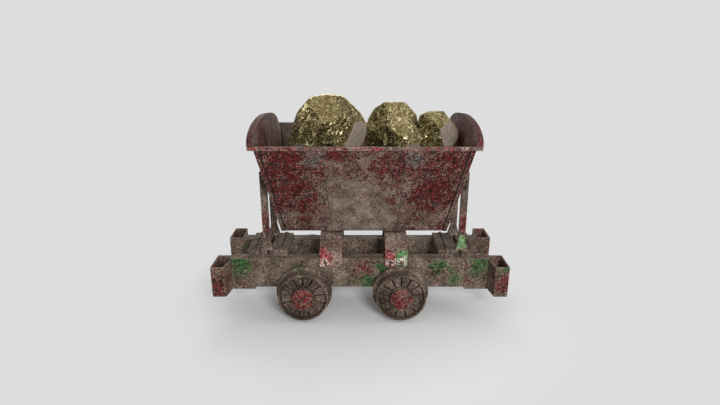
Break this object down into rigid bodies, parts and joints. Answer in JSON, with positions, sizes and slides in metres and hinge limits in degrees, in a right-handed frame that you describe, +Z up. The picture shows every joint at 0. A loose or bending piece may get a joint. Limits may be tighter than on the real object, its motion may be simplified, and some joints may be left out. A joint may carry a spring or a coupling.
{
  "type": "side-tipping mine cart",
  "caption": "Narrow-gauge mine cart with a V-shaped skip that tips to either side on end trunnions, loaded with gold-bearing boulders.",
  "frame": {"origin": "floor level under the wheel flanges, at the middle of the cart's length and width", "axes": "+X along the cart, +Y across it, +Z up"},
  "size_m": [1.95, 0.928, 1.4868],
  "materials": {
    "frame_paint": "old grey-brown paint and grime over rust, green flakes",
    "saddle_paint": "worn paint in red, green and white flakes",
    "buffer_paint": "deep red paint worn to grey-brown metal",
    "skip_paint": "deep red paint flaked off grey-brown sheet",
    "rim_paint": "red paint rubbed to bare metal on the edge",
    "cast_housing": "dirty grey-brown casting",
    "wheel_iron": "dirty grey-brown casting with worn tread",
    "hub_paint": "red paint",
    "axle_steel": "dull turned steel",
    "bare_steel": "dull turned steel, greasy",
    "bronze": "bearing bronze",
    "fasteners": "rusty forged heads",
    "ore_rubble": "broken grey-brown ore",
    "gold_ore": "grey-brown stone with crusts of gold"
  },
  "bodies": {
    "chassis": {"axle_box_bolts": "fasteners", "axle_box_left_front": "cast_housing", "axle_box_left_rear": "cast_housing", "axle_box_right_front": "cast_housing", "axle_box_right_rear": "cast_housing", "axle_bushes": "bronze", "bracket_bolts": "fasteners", "buffer_bolts": "fasteners", "buffer_left_front": "buffer_paint", "buffer_left_rear": "buffer_paint", "buffer_right_front": "buffer_paint", "buffer_right_rear": "buffer_paint", "buffer_rivets": "fasteners", "end_plate_bolts": "fasteners", "end_plate_left_inner": "frame_paint", "end_plate_left_outer": "frame_paint", "end_plate_right_inner": "frame_paint", "end_plate_right_outer": "frame_paint", "post_left_front": "frame_paint", "post_left_rear": "frame_paint", "post_right_front": "frame_paint", "post_right_rear": "frame_paint", "saddle_left": "saddle_paint", "saddle_right": "saddle_paint", "saddle_rivets": "fasteners", "sill_front": "frame_paint", "sill_rear": "frame_paint", "trunnion_bracket_left": "frame_paint", "trunnion_bracket_right": "frame_paint", "trunnion_bushes": "bronze"},
    "skip": {"boulder_front": "gold_ore", "boulder_large": "gold_ore", "boulder_middle": "gold_ore", "boulder_right": "gold_ore", "ore_bed": "ore_rubble", "rim_end_left": "rim_paint", "rim_end_right": "rim_paint", "rim_front": "rim_paint", "rim_rear": "rim_paint", "skip_end_left": "skip_paint", "skip_end_right": "skip_paint", "skip_floor": "skip_paint", "skip_side_front": "skip_paint", "skip_side_rear": "skip_paint", "trunnion_left": "bare_steel", "trunnion_right": "bare_steel"},
    "wheelset_left": {"axle_left": "axle_steel", "hub_caps_left": "hub_paint", "wheel_left_front": "wheel_iron", "wheel_left_rear": "wheel_iron"},
    "wheelset_right": {"axle_right": "axle_steel", "hub_caps_right": "hub_paint", "wheel_right_front": "wheel_iron", "wheel_right_rear": "wheel_iron"}
  },
  "joints": [
    {"name": "skip_tip", "type": "hinge", "parent": "chassis", "child": "skip", "pos_m": [0.028, 0, 0.918], "axis": [1, 0, 0], "range_deg": [-90, 90]},
    {"name": "axle_left_roll", "type": "hinge", "parent": "chassis", "child": "wheelset_left", "pos_m": [-0.378, 0, 0.188], "axis": [0, 1, 0], "continuous": true},
    {"name": "axle_right_roll", "type": "hinge", "parent": "chassis", "child": "wheelset_right", "pos_m": [0.274, 0, 0.188], "axis": [0, 1, 0], "continuous": true}
  ]
}
